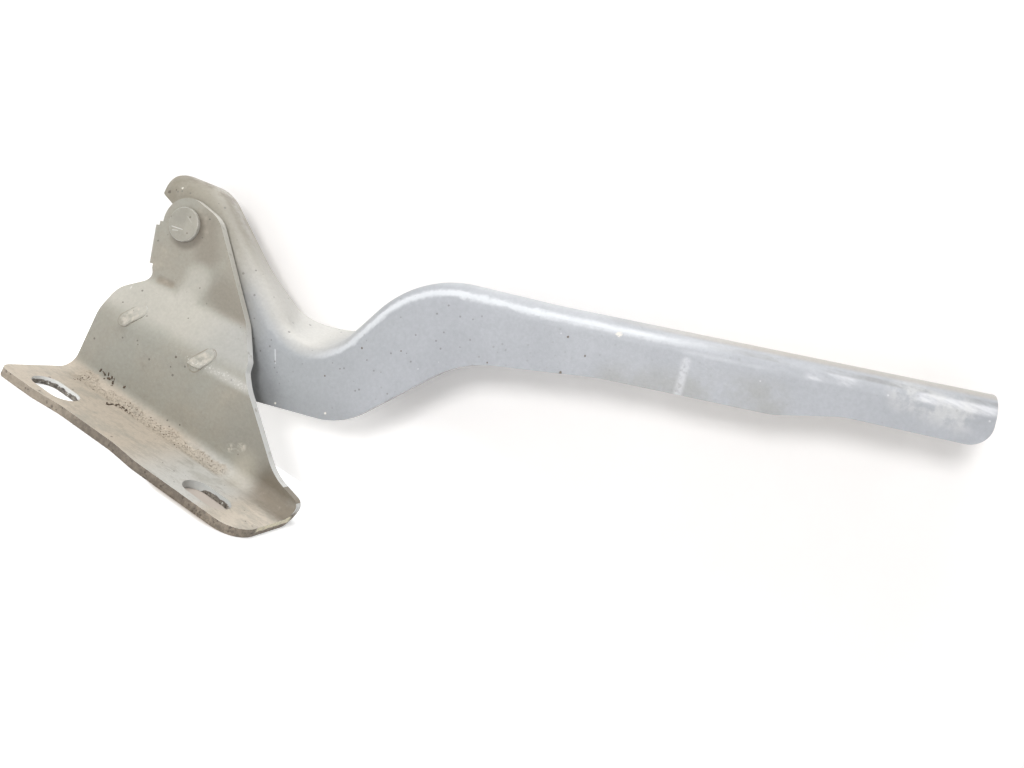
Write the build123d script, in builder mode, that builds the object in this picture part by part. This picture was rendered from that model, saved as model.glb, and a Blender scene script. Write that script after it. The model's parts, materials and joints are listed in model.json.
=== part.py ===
from build123d import *
import os
from math import acos, atan2, cos, degrees, hypot, radians, sin, tan

# Hood hinge of a car, one of a mirrored pair, in millimetres.
# It stands as it is bolted in: the base flange lies flat with its underside at Z 0, X runs along the
# base towards the front end of the arm, and the face that carries the rivet head looks along -Y.
# The origin is on the underside, midway between the two bolt slots.

# Sheet metal
bracket_sheet = 3.2
arm_sheet = 2.5

# Base flange of the bracket
slot_spacing = 76.0
slot_length = 19.5
slot_width = 11.5
slot_to_free_edge = 10.0
slot_to_plate = 23.0
base_rear = 56.5
base_front = 60.5
base_corner_rear = 5.0
base_corner_front = 10.0
base_bend = 6.0
edge_waist_rear, edge_waist_front = -37.0, 13.0
edge_waist, edge_waist_ease, edge_waist_round = 1.8, 12.0, 16.0

# Pivot, from the origin to the front face of the neck
pivot_rear = 43.0
pivot_height = 76.5
joggle = 8.5

# Plate of the bracket: distances forward of the pivot and below it
neck_radius = 11.0
shoulder_forward, shoulder_rise, shoulder_round = 13.0, 9.1, 12.0
plate_slope, plate_slope_low = 44.2, 41.5
edge_step_drop, edge_step_forward, edge_step_fall, edge_step_round = 33.2, 1.6, 3.4, 4.0
foot_height, foot_fall, foot_round, foot_end_round = 12.5, 3.6, 24.0, 4.0
waist_rear, waist_drop, waist_round = 3.2, 26.4, 4.0
flank_drop, flank_round = 36.0, 9.0
joggle_top_drop, joggle_top_bend = 24.0, 7.0
joggle_foot_drop, joggle_foot_bend = 44.5, 12.0
joggle_slant = 4.8

# Dart pressed across the upper bend of the joggle
dart_forward = 16.0
dart_radius = 15.0
dart_top_drop = 14.0
dart_foot_drop = 30.5

# Blank oval pads: flat, they carry the joggle's ramp on over its lower bend
emboss_forwards = (1.2, 39.1)
emboss_drop = 41.5
emboss_length = 12.0
emboss_width = 5.8
emboss_tilt = 61.0
emboss_height = 0.3
emboss_overrun = 3.0

# Stop tab, bent back from the rear edge of the neck
tab_clearance = 2.2
tab_lean = 17.8
tab_start = 1.8
tab_length = 16.0
tab_reach = 8.4
tab_bend = 2.8
tab_relief = 1.7

# Rivet, bush and washer
rivet_shaft_radius = 4.0
rivet_head_radius = 7.0
rivet_head_height = 1.6
rivet_head_round = 0.5
rivet_tail_radius = 6.4
rivet_tail_height = 2.3
rivet_tail_round = 1.2
bush_wall = 0.95
bush_flange_radius = 8.4
bush_flange = 1.0
washer_radius = 8.0
washer_thickness = 1.2
fit_clearance = 0.05
running_clearance = 0.06
face_clearance = 0.1

# Arm in side view: distances forward of the pivot and above it, with each corner's radius.
# Past the knee, the brow and then the straight run have a length and a slope each.
arm_boss_radius = 10.3
nose_reach = 20.6
nose_rise = 17.0
nose_corner = 4.0
nose_tip_round = 1.0
open_swing = 41.0
crown_forward, crown_rise, crown_round = 1.3, 19.4, 20.0
dip_forward, dip_drop, dip_round = 73.6, 25.5, 14.0
knee_forward, knee_rise, knee_round = 95.8, 29.5, 48.0
brow_length, brow_slope, brow_round = 56.0, 14.6, 150.0
run_length, run_slope = 144.4, 16.5
front_width, front_round = 17.4, 7.0
step_start, step_end, step_depth, step_round = 43.0, 64.0, 4.4, 24.0
belly_forward, belly_rise, belly_round = 176.0, 27.6, 100.0
throat_forward, throat_rise, throat_round = 129.3, 8.0, 40.0
keel_forward, keel_drop, keel_round = 98.0, 37.1, 30.0
heel_forward, heel_drop, heel_round = 56.0, 49.2, 12.0

# Flange along the top of the arm. Towards its free edge the dip opens out and the knee tightens:
# each has a second radius, as it would be one sheet past the free edge.
arm_bend = 6.0
flange_depth = 26.0
flange_depth_rear = 12.0
flange_widen_start = 34.0
flange_widen_end = 64.0
flange_widen_round = 20.0
flange_corner = 8.0
dip_round_far = 33.0
knee_round_far = 38.0
hood_hole_radius = 4.5
hood_hole_setback = 17.0
hood_hole_spacing = 90.0
hood_hole_from_web = 14.5

# Depths through the pivot, measured back from the front face of the neck
bush_front = bracket_sheet + face_clearance
web_front = bush_front + bush_flange
web_back = web_front + arm_sheet
washer_front = web_back + face_clearance
washer_back = washer_front + washer_thickness
bush_bore = rivet_shaft_radius + running_clearance
bush_outside = bush_bore + bush_wall

# Places and planes worked out from the sizes above
pivot = Vector(-pivot_rear, slot_to_plate + joggle, pivot_height)
pivot_axis = Axis(pivot, (0, 1, 0))
side_view = Plane(origin=pivot, x_dir=(1, 0, 0), z_dir=(0, -1, 0))
turning_view = Plane(origin=pivot, x_dir=(1, 0, 0), z_dir=(0, 0, 1))
plan_view = Plane(origin=(pivot.X, pivot.Y, 0))

# How far cutting outlines run past the metal, how low that is, and how near counts as on a line
margin = 12.0
below = -pivot_height - margin
near = 0.05


def polar(radius, angle):
    """A point round the pivot: forward and up."""
    return Vector(radius * cos(radians(angle)), radius * sin(radians(angle)))


def touching(point, radius, turn):
    """Where a line from a point touches a circle round the pivot, on its turn side (1 or -1)."""
    bearing = degrees(atan2(point.Y, point.X))
    return polar(radius, bearing + turn * degrees(acos(radius / point.length)))


# The stop tab lies square to this bearing from the pivot, and tab_place is a point beside it:
# outward from the pivot, and along the tab.
tab_bearing = 180 + tab_lean
tab_inner = arm_boss_radius + tab_clearance
tab_outer = tab_inner + bracket_sheet


def tab_place(outward, along):
    return polar(outward, tab_bearing) + polar(along, tab_bearing + 90)


# Hinge bracket
with BuildPart() as hinge_bracket:
    # Neck, ramp and top of the plate: one strip with a joggle, pressed a little aslant
    strip_start = -base_rear - margin
    strip_length = base_rear + base_front + 2 * margin
    plate_middle = slot_to_plate + bracket_sheet / 2
    neck_middle = plate_middle + joggle
    rise = tan(radians(joggle_slant))
    slant_drop = rise * (pivot.X + dart_forward - strip_start)
    join_height = bracket_sheet + base_bend + margin / 2
    with BuildSketch(Plane.YZ.offset(strip_start)):
        with BuildLine():
            FilletPolyline(
                (plate_middle, -rise * strip_length),
                (plate_middle, pivot_height - joggle_foot_drop - slant_drop),
                (neck_middle, pivot_height - joggle_top_drop - slant_drop),
                (neck_middle, pivot_height + neck_radius + margin),
                radius=(joggle_foot_bend, joggle_top_bend),
            )
        trace(line_width=bracket_sheet)
    slant = Vector(1, 0, rise)
    extrude(amount=strip_length * slant.length, dir=slant)
    split(bisect_by=Plane.XY.offset(join_height), keep=Keep.TOP)

    # Foot of the plate and base flange, bent square
    with BuildSketch(Plane.YZ.offset(strip_start)):
        with BuildLine():
            FilletPolyline(
                (plate_middle, join_height),
                (plate_middle, bracket_sheet / 2),
                (-slot_to_free_edge, bracket_sheet / 2),
                radius=base_bend + bracket_sheet / 2,
            )
        trace(line_width=bracket_sheet)
    extrude(amount=strip_length)

    # Outline of the stamping in side view, with the neck round the pivot
    shoulder = Vector(shoulder_forward, shoulder_rise)
    run_to_step = (edge_step_drop + shoulder_rise) / tan(radians(plate_slope))
    step_top = Vector(shoulder_forward + run_to_step, -edge_step_drop)
    step_foot = step_top + Vector(edge_step_forward, -edge_step_fall)
    foot_rise = foot_height - pivot_height
    run_to_foot = (step_foot.Y - foot_rise) / tan(radians(plate_slope_low))
    foot = Vector(step_foot.X + run_to_foot, foot_rise)
    front = base_front - pivot.X
    rear = -base_rear - pivot.X
    with BuildSketch(side_view.offset(-margin)):
        with BuildLine():
            FilletPolyline(
                (0, 0),
                touching(shoulder, neck_radius, 1),
                shoulder,
                step_top,
                step_foot,
                foot,
                (front, foot_rise - foot_fall),
                (front, below),
                (rear, below),
                (rear, -flank_drop),
                (-waist_rear, -waist_drop),
                tab_place(tab_inner, tab_start + tab_length + tab_relief),
                tab_place(tab_inner, tab_start - tab_relief),
                radius=(
                    0,
                    0,
                    shoulder_round,
                    edge_step_round,
                    edge_step_round,
                    foot_round,
                    foot_end_round,
                    0,
                    0,
                    flank_round,
                    waist_round,
                    0,
                    0,
                ),
                close=True,
            )
        make_face()
        Circle(neck_radius)
    extrude(amount=pivot.Y + slot_to_free_edge + 2 * margin, mode=Mode.INTERSECT)

    # Stop tab, with its bend rounded outside
    with BuildSketch(side_view.offset(-tab_reach)):
        with Locations(tab_place(tab_outer - bracket_sheet / 2, tab_start + tab_length / 2)):
            Rectangle(bracket_sheet, tab_length, rotation=tab_bearing)
    extrude(amount=tab_reach)
    tab_bend_middle = side_view.from_local_coords(tab_place(tab_outer, tab_start + tab_length / 2))
    fillet(hinge_bracket.edges().sort_by_distance(tab_bend_middle)[0], tab_bend)

    # Corners of the base flange
    free_edge_ends = hinge_bracket.edges().filter_by(Axis.Z).group_by(Axis.Y)[0].sort_by(Axis.X)
    fillet(free_edge_ends[0], base_corner_rear)
    fillet(free_edge_ends[-1], base_corner_front)

    # Shallow waist in the free edge between the slots
    with BuildSketch(Plane.XY):
        with BuildLine():
            FilletPolyline(
                (edge_waist_rear - margin, -slot_to_free_edge),
                (edge_waist_rear, -slot_to_free_edge),
                (edge_waist_rear + edge_waist_ease, edge_waist - slot_to_free_edge),
                (edge_waist_front - edge_waist_ease, edge_waist - slot_to_free_edge),
                (edge_waist_front, -slot_to_free_edge),
                (edge_waist_front + margin, -slot_to_free_edge),
                (edge_waist_front + margin, -slot_to_free_edge - margin),
                (edge_waist_rear - margin, -slot_to_free_edge - margin),
                radius=(0, *[edge_waist_round] * 4, 0, 0, 0),
                close=True,
            )
        make_face()
    extrude(amount=bracket_sheet, mode=Mode.SUBTRACT)

    # Dart: a round rib that bridges the hollow bend at the top of the joggle
    top_crease = pivot_height - joggle_top_drop
    foot_crease = pivot_height - joggle_foot_drop
    neck_front = neck_middle - bracket_sheet / 2
    ramp_share = (dart_foot_drop - joggle_top_drop) / (joggle_foot_drop - joggle_top_drop)
    dart_x = pivot.X + dart_forward
    dart_top = Vector(dart_x, neck_front, pivot_height - dart_top_drop)
    dart_foot = Vector(dart_x, neck_front - joggle * ramp_share, pivot_height - dart_foot_drop)
    dart_run = dart_foot - dart_top
    dart_inward = Vector(0, -dart_run.Z, dart_run.Y).normalized()
    with BuildSketch(Plane.YZ.offset(dart_x)):
        with BuildLine():
            Polyline(
                (neck_middle, pivot_height),
                (neck_middle, top_crease),
                (plate_middle, foot_crease),
                (plate_middle - margin, foot_crease),
                (plate_middle - margin, pivot_height),
                close=True,
            )
        make_face()
    in_front = extrude(amount=dart_radius, both=True, mode=Mode.PRIVATE)
    with BuildSketch(Plane(origin=dart_top + dart_inward * dart_radius, z_dir=dart_run)):
        Circle(dart_radius)
    rib = extrude(amount=dart_run.length, mode=Mode.PRIVATE)
    add(rib & in_front)

    # Oval pads: a layer a little above the ramp and carried on past its foot, inside each outline
    ramp_top = Vector(neck_middle, pivot_height - joggle_top_drop - slant_drop)
    ramp_foot = Vector(plate_middle, pivot_height - joggle_foot_drop - slant_drop)
    ramp = (ramp_foot - ramp_top).normalized()
    lift = Vector(ramp.Y, -ramp.X) * (bracket_sheet / 2 + emboss_height)
    pad_foot = ramp_foot + ramp * emboss_overrun
    pad_top = ramp_foot - ramp * emboss_length
    with BuildSketch(Plane.YZ.offset(strip_start)):
        with BuildLine():
            Polyline(pad_foot, pad_top, pad_top + lift, pad_foot + lift, close=True)
        make_face()
    layer = extrude(amount=strip_length * slant.length, dir=slant, mode=Mode.PRIVATE)
    with BuildSketch(side_view):
        for forward in emboss_forwards:
            with Locations((forward, -emboss_drop)):
                SlotOverall(emboss_length, emboss_width, rotation=emboss_tilt)
    ovals = extrude(amount=pivot.Y, mode=Mode.PRIVATE)
    add(ovals & layer)

    # Bolt slots and rivet hole
    with BuildSketch(Plane.XY):
        with GridLocations(slot_spacing, 0, 2, 1):
            SlotOverall(slot_length, slot_width)
    extrude(amount=bracket_sheet, mode=Mode.SUBTRACT)
    with BuildSketch(side_view):
        Circle(rivet_shaft_radius + fit_clearance)
    extrude(amount=-bracket_sheet, mode=Mode.SUBTRACT)

hinge_bracket.part.label = "hinge_bracket"

# Hinge arm
with BuildPart() as hinge_arm:
    crown = Vector(crown_forward, crown_rise)
    dip = Vector(dip_forward, -dip_drop)
    knee = Vector(knee_forward, knee_rise)
    brow = knee + polar(brow_length, brow_slope)
    front_top = brow + polar(run_length, run_slope)
    along = polar(1, run_slope)
    across = polar(1, run_slope + 90)
    front_foot = front_top - across * front_width
    step_high = front_foot - along * step_start
    step_low = front_foot - along * step_end - across * step_depth
    belly = Vector(belly_forward, belly_rise)
    throat = Vector(throat_forward, throat_rise)
    keel = Vector(keel_forward, -keel_drop)
    heel = Vector(heel_forward, -heel_drop)

    # The nose meets the outer corner of the stop tab at the end of the opening swing
    stop_corner = tab_place(tab_outer, tab_start)
    nose_bearing = degrees(atan2(stop_corner.Y, stop_corner.X)) % 360 - open_swing
    nose_foot = polar(nose_reach, nose_bearing)
    nose_top = Vector(nose_foot.X, nose_rise)
    nose_run = (crown - nose_top).normalized()

    # The flange is drawn between its near side, at the web, and a far side past its free edge
    free_edge_rear = web_front + flange_depth_rear
    free_edge = web_front + flange_depth
    far_side = free_edge + arm_sheet

    def top_rounds(depth):
        """Radii of crown, dip, knee and brow at a depth behind the neck's front face."""
        share = (depth - web_front) / (far_side - web_front)
        dip_there = dip_round + (dip_round_far - dip_round) * share
        knee_there = knee_round + (knee_round_far - knee_round) * share
        return crown_round, dip_there, knee_there, brow_round

    # Side view outline of the whole arm, narrower past the step, as a blank as deep as the flange
    for depth in (web_front, far_side):
        with BuildSketch(side_view.offset(-depth)):
            with BuildLine():
                FilletPolyline(
                    (0, 0),
                    nose_foot,
                    nose_top,
                    crown,
                    dip,
                    knee,
                    brow,
                    front_top,
                    front_foot,
                    step_high,
                    step_low,
                    belly,
                    throat,
                    keel,
                    heel,
                    touching(heel, arm_boss_radius, -1),
                    radius=(
                        0,
                        nose_tip_round,
                        0,
                        *top_rounds(depth),
                        0,
                        front_round,
                        step_round,
                        step_round,
                        belly_round,
                        throat_round,
                        keel_round,
                        heel_round,
                        0,
                    ),
                    close=True,
                )
            make_face()
    loft(ruled=True)

    # Boss round the pivot
    with BuildSketch(side_view.offset(-web_front)):
        Circle(arm_boss_radius)
    extrude(amount=-flange_depth)

    # Trimmed in plan: the flange widens towards the dip
    with BuildSketch(plan_view.offset(-margin)):
        with BuildLine():
            FilletPolyline(
                (nose_top.X - margin, 0),
                (nose_top.X - margin, free_edge_rear),
                (flange_widen_start, free_edge_rear),
                (flange_widen_end, free_edge),
                (front_top.X + margin, free_edge),
                (front_top.X + margin, 0),
                radius=(0, 0, flange_widen_round, flange_widen_round, 0, 0),
                close=True,
            )
        make_face()
    extrude(amount=pivot_height + front_top.Y + 2 * margin, mode=Mode.INTERSECT)

    # Hollow below the flange and behind the web
    def top_line(depth):
        """Top of the arm at a depth behind the neck's front face, run on past both ends."""
        return FilletPolyline(
            nose_top - nose_run * margin,
            crown,
            dip,
            knee,
            brow,
            front_top + along * margin,
            radius=top_rounds(depth),
            mode=Mode.PRIVATE,
        )

    for depth in (web_back, far_side):
        with BuildSketch(side_view.offset(-depth)):
            with BuildLine():
                under = offset(top_line(depth), amount=arm_sheet, side=Side.RIGHT, closed=False)
                Polyline(under @ 1, ((under @ 1).X, below), ((under @ 0).X, below), under @ 0)
            make_face()
    loft(ruled=True, mode=Mode.SUBTRACT)

    # Bend between web and flange, round inside and outside
    with BuildLine(mode=Mode.PRIVATE):
        over_line = top_line(web_front)
        under_line = offset(top_line(web_back), amount=arm_sheet, side=Side.RIGHT, closed=False)
    top_edge = side_view.offset(-web_front).from_local_coords(over_line)
    under_edge = side_view.offset(-web_back).from_local_coords(under_line)
    inside = [edge for edge in hinge_arm.edges() if under_edge.distance_to(edge @ 0.5) < near]
    fillet(inside, arm_bend)
    outside = [edge for edge in hinge_arm.edges() if top_edge.distance_to(edge @ 0.5) < near]
    fillet(outside, arm_bend + arm_sheet)

    # Rounded corners at the front of the flange and at the top of the nose
    flange_end = side_view.from_local_coords(front_top - across * arm_sheet / 2) + Vector(0, free_edge, 0)
    fillet(hinge_arm.edges().sort_by_distance(flange_end)[0], flange_corner)
    with BuildSketch(side_view):
        with BuildLine():
            nose_curve = FilletPolyline(
                nose_top - Vector(0, 2 * nose_corner),
                nose_top,
                nose_top + nose_run * 2 * nose_corner,
                radius=nose_corner,
            )
            Polyline(nose_curve @ 1, nose_top + Vector(-nose_corner, nose_corner), nose_curve @ 0)
        make_face()
    extrude(amount=flange_depth, both=True, mode=Mode.SUBTRACT)

    # Hole for the bush
    with BuildSketch(side_view.offset(-web_back)):
        Circle(bush_outside + fit_clearance)
    extrude(amount=arm_sheet, mode=Mode.SUBTRACT)

    # Two bolt holes for the hood in the flange
    slope_direction = Vector(along.X, 0, along.Y)
    flange_normal = Vector(across.X, 0, across.Y)
    front_corner = side_view.from_local_coords(front_top) + Vector(0, web_front + hood_hole_from_web, 0)
    for setback in (hood_hole_setback, hood_hole_setback + hood_hole_spacing):
        place = front_corner - slope_direction * setback
        with BuildSketch(Plane(origin=place, x_dir=slope_direction, z_dir=flange_normal)):
            Circle(hood_hole_radius)
        extrude(amount=arm_sheet, both=True, mode=Mode.SUBTRACT)

hinge_arm.part.label = "hinge_arm"

# Pivot rivet: flat head in front of the neck, peened tail behind the washer
with BuildPart() as pivot_rivet:
    with BuildSketch(turning_view):
        with BuildLine():
            FilletPolyline(
                (0, -rivet_head_height),
                (rivet_head_radius, -rivet_head_height),
                (rivet_head_radius, 0),
                (rivet_shaft_radius, 0),
                (rivet_shaft_radius, washer_back),
                (rivet_tail_radius, washer_back),
                (rivet_tail_radius, washer_back + rivet_tail_height),
                (0, washer_back + rivet_tail_height),
                radius=(0, rivet_head_round, 0, 0, 0, 0, rivet_tail_round, 0),
                close=True,
            )
        make_face()
    revolve(axis=pivot_axis)

pivot_rivet.part.label = "pivot_rivet"

# Pivot bush: sleeve in the arm's hole, with a flange that keeps the two sheets apart
with BuildPart() as pivot_bush:
    with BuildSketch(turning_view):
        with BuildLine():
            Polyline(
                (bush_bore, bush_front),
                (bush_flange_radius, bush_front),
                (bush_flange_radius, web_front),
                (bush_outside, web_front),
                (bush_outside, web_back),
                (bush_bore, web_back),
                close=True,
            )
        make_face()
    revolve(axis=pivot_axis)

pivot_bush.part.label = "pivot_bush"

# Washer under the peened tail
with BuildPart() as rivet_washer:
    with BuildSketch(side_view.offset(-washer_back)):
        Circle(washer_radius)
        Circle(rivet_shaft_radius + fit_clearance, mode=Mode.SUBTRACT)
    extrude(amount=washer_thickness)

rivet_washer.part.label = "rivet_washer"

os.makedirs("parts", exist_ok=True)
export_step(hinge_bracket.part, "parts/hinge_bracket.step")
export_step(hinge_arm.part, "parts/hinge_arm.step")
export_step(pivot_rivet.part, "parts/pivot_rivet.step")
export_step(pivot_bush.part, "parts/pivot_bush.step")
export_step(rivet_washer.part, "parts/rivet_washer.step")
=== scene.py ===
import json
import math
import random

import bpy
from bpy.props import BoolProperty, FloatProperty, FloatVectorProperty, PointerProperty
from mathutils import Matrix, Vector


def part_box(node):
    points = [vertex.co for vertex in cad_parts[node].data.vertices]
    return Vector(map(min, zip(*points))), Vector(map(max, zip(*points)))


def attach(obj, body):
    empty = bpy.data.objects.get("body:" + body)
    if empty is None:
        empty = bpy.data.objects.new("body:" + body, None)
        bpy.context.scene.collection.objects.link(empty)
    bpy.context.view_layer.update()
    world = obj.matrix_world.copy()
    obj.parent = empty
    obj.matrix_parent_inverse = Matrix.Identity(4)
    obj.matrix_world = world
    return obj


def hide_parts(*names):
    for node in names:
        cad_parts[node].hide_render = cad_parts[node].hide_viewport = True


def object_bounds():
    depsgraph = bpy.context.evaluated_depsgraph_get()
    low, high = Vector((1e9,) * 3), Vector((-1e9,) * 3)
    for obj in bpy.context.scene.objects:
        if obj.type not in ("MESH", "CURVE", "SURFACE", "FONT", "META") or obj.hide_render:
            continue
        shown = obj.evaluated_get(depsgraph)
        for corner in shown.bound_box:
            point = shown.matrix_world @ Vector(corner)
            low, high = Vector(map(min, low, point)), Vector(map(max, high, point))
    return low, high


bl_info = {
    "name": "Hood hinge",
    "version": (1, 0, 0),
    "blender": (4, 5, 0),
    "location": "View3D > Sidebar > Hinge",
    "description": "Dresses a riveted car hood hinge in worn paint, dust and bare steel",
    "category": "Object",
}

MM = 0.001
BLACK = (0, 0, 0)
WHITE = (1, 1, 1)

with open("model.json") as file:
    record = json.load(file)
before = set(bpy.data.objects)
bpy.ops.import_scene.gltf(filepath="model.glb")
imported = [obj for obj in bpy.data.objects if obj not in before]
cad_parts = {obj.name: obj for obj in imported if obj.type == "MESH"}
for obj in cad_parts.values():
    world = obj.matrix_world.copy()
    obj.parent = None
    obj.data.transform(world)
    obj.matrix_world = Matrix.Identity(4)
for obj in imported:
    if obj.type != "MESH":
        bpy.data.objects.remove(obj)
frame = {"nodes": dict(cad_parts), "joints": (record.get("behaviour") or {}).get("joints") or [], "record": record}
frame_low, frame_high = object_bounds()

# Places read from the frame: the pivot, the bolt slots, and the front end of the base
PIVOT = Vector(frame["joints"][0]["pos_m"])
slot_dims = frame["record"]["mounts"][0]["dims"]
SLOT_REACH = slot_dims["spacing_x_mm"] * MM / 2
SLOT_LENGTH = slot_dims["slot_length_mm"] * MM
SLOT_HALF_WIDTH = slot_dims["hole_r_mm"] * MM
BASE_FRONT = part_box("hinge_bracket")[1].x
SHEET = 3.2 * MM

# Angles past which an edge is sharp, on the two sheets and on the turned pieces
SHEET_SHARP = math.radians(40)
TURNED_SHARP = math.radians(50)
# Angles below which neighbouring faces are one flat face, or are shaded as one curve
FLAT = math.radians(0.4)
SMOOTH = math.radians(32)
# Points nearer than the first are merged, and a face as near to a level as the second is on it
MERGE_GAP = 0.002 * MM
TOUCH = 0.1 * MM

# The floor and backdrop, how far they stand off the part, and how far the lamps are from its middle
GROUND_SIZE = 6.0
FLOOR_GAP = 0.05 * MM
BACKDROP_GAP = 0.3 * MM
LAMP_DISTANCE = 0.9
# More glow where the floor and backdrop meet and far off, and where far off starts and is reached
MORE_GLOW = 0.45
FAR_STARTS = 0.35
FAR_REACHED = 1.10


def at(x, y, z):
    """A place in the part's frame, from millimetres."""
    return Vector((x, y, z)) * MM


# Settings that a user would change


def colour(name, words, value):
    return FloatVectorProperty(
        name=name, description=words, subtype="COLOR", size=3, min=0, max=1, default=value
    )


def length(name, words, value):
    return FloatProperty(name=name, description=words, subtype="DISTANCE", unit="LENGTH", default=value)


def angle(name, words, degrees):
    return FloatProperty(name=name, description=words, subtype="ANGLE", default=math.radians(degrees))


def strength(name, words, value):
    return FloatProperty(name=name, description=words, default=value, min=0)


class HingeFinish(bpy.types.PropertyGroup):
    bracket_paint: colour("Bracket paint", "Grey-green primer on the bracket", (0.325, 0.318, 0.275))
    bracket_warm: colour("Bracket stain", "Brownish stain in the bracket's primer", (0.330, 0.300, 0.245))
    # Also stands in for painted light: where the ramp faces up, and as a painted highlight on the upright edge
    bracket_pale_lit: colour("Bracket rubbed paint", "Paler primer on the ramp", (0.500, 0.480, 0.425))
    arm_paint: colour("Arm paint", "Blue-grey primer on the arm", (0.415, 0.428, 0.455))
    arm_heel: colour("Arm paint in the heel", "Duller primer low on the arm", (0.365, 0.380, 0.394))
    arm_warm: colour("Arm stain", "Browned primer near the pivot", (0.330, 0.305, 0.250))
    road_dust: colour("Road dust", "Tan dust caked on the base flange", (0.530, 0.460, 0.375))
    soil: colour("Soil", "Brown soil in the bend of the base", (0.455, 0.392, 0.312))
    # Also the tint of the painted shadow below the rivet head
    grime_and_shade: colour("Grime", "Dark grime round the rivet and in corners", (0.100, 0.080, 0.060))
    crumb: colour("Crumbs", "Dark crumbs of leaf and soil", (0.060, 0.045, 0.032))
    sheared: colour("Sheared edge", "Dull broken steel of a sheared edge", (0.165, 0.138, 0.108))
    bare: colour("Bare metal", "Rubbed bare metal on rims and scratches", (0.740, 0.735, 0.710))
    brassy: colour("Worn edge", "Yellow worn stretch on the front end's edge", (0.950, 0.870, 0.660))
    bronze: colour("Bronze", "Bush metal", (0.420, 0.270, 0.110))
    steel: colour("Steel", "Plain steel of the washer", (0.420, 0.420, 0.410))
    edge_round: length("Edge round", "Rounding of sheared edges", 0.25 * MM)


class HingeStage(bpy.types.PropertyGroup):
    ground: colour("Floor", "Pale floor", (0.86, 0.86, 0.86))
    sheet: colour("Backdrop sheet", "Pale backdrop", (0.94, 0.918, 0.905))
    floor_glow: strength("Floor glow", "White added to the floor for the camera", 0.30)
    backdrop_glow: strength("Backdrop glow", "White added to the backdrop for the camera", 0.075)
    sky: strength("Sky", "Strength of the even white light", 0.42)
    key_power: strength("Key lamp", "Power of the lamp by the camera", 3.6)
    top_power: strength("Top lamp", "Power of the lamp above", 4.4)
    back_power: strength("Back lamp", "Power of the lamp behind", 2.2)
    camera_place: FloatVectorProperty(
        name="Camera",
        description="Place of the camera",
        subtype="XYZ",
        default=(0.16875, -0.22378, 0.12050),
    )
    camera_azimuth: angle("Azimuth", "Turn of the camera about Z", 13.33)
    camera_drop: angle("Elevation", "How far the camera looks down", 7.14)
    camera_roll: angle("Roll", "Tilt of the picture", 28.6)
    camera_lens: FloatProperty(name="Lens", description="Focal length in mm", default=26.02, min=1)
    show_backdrop: BoolProperty(
        name="Backdrop", description="Upright pale sheet behind the arm", default=True
    )


# Node helpers


def add_node(tree, kind, inputs=None, **settings):
    """A shader node with its settings, whose inputs are values or other nodes' sockets."""
    made = tree.nodes.new(kind)
    for key, value in settings.items():
        setattr(made, key, value)
    for key, value in (inputs or {}).items():
        if isinstance(value, bpy.types.NodeSocket):
            tree.links.new(value, made.inputs[key])
        else:
            made.inputs[key].default_value = value
    return made


def maths(tree, operation, first, second=0.0, clamp=False):
    """One step of arithmetic on numbers or sockets."""
    return add_node(
        tree, "ShaderNodeMath", {0: first, 1: second}, operation=operation, use_clamp=clamp
    ).outputs[0]


def vectors(tree, operation, first, second, output="Vector"):
    return add_node(
        tree, "ShaderNodeVectorMath", {0: first, 1: second}, operation=operation
    ).outputs[output]


def scaled(tree, factor, value):
    return maths(tree, "MULTIPLY", value, factor)


def both(tree, *masks):
    """Where all the masks are at once: their product."""
    result = masks[0]
    for mask in masks[1:]:
        result = maths(tree, "MULTIPLY", result, mask)
    return result


def ease(tree, value, low, high):
    """0 below low and 1 above high, or the other way where low is the higher."""
    return add_node(
        tree,
        "ShaderNodeMapRange",
        {"Value": value, "From Min": low, "From Max": high, "To Min": 0.0, "To Max": 1.0},
        interpolation_type="SMOOTHSTEP",
    ).outputs[0]


def between(tree, value, low, high, soft):
    """1 from low to high, fading out over the soft width at both ends."""
    return both(tree, ease(tree, value, low - soft, low), ease(tree, value, high + soft, high))


def noise(tree, place, scale, detail=3.0, roughness=0.55):
    return add_node(
        tree,
        "ShaderNodeTexNoise",
        {"Vector": place, "Scale": scale, "Detail": detail, "Roughness": roughness},
    ).outputs["Fac"]


def patches(tree, place, scale, low, high, detail=5.0):
    """Ragged patches: a fine noise cut between two levels."""
    return ease(tree, noise(tree, place, scale, detail, 0.65), low, high)


def mix(tree, share, first, second, blend_type="MIX"):
    """A colour between two, as RGB triples or sockets."""
    made = add_node(tree, "ShaderNodeMix", data_type="RGBA", blend_type=blend_type)
    # Of the node's many inputs, 6 and 7 are its two colours
    for key, value in ((0, share), (6, first), (7, second)):
        if isinstance(value, bpy.types.NodeSocket):
            tree.links.new(value, made.inputs[key])
        elif key == 0:
            made.inputs[key].default_value = value
        else:
            made.inputs[key].default_value = (*value, 1.0)
    return made.outputs[2]


def over(tree, base, tint, share, *masks):
    """A tint laid over a colour, at that share of its strength where every mask is 1."""
    return mix(tree, scaled(tree, share, both(tree, *masks)), base, tint)


def shade(tint, factor):
    """A lighter or darker make of a tint."""
    return tuple(factor * part for part in tint)


def stretched(tree, place, scale, turn=(0.0, 0.0, 0.0), move=(0.0, 0.0, 0.0)):
    return add_node(
        tree, "ShaderNodeMapping", {"Vector": place, "Location": move, "Rotation": turn, "Scale": scale}
    ).outputs[0]


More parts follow.
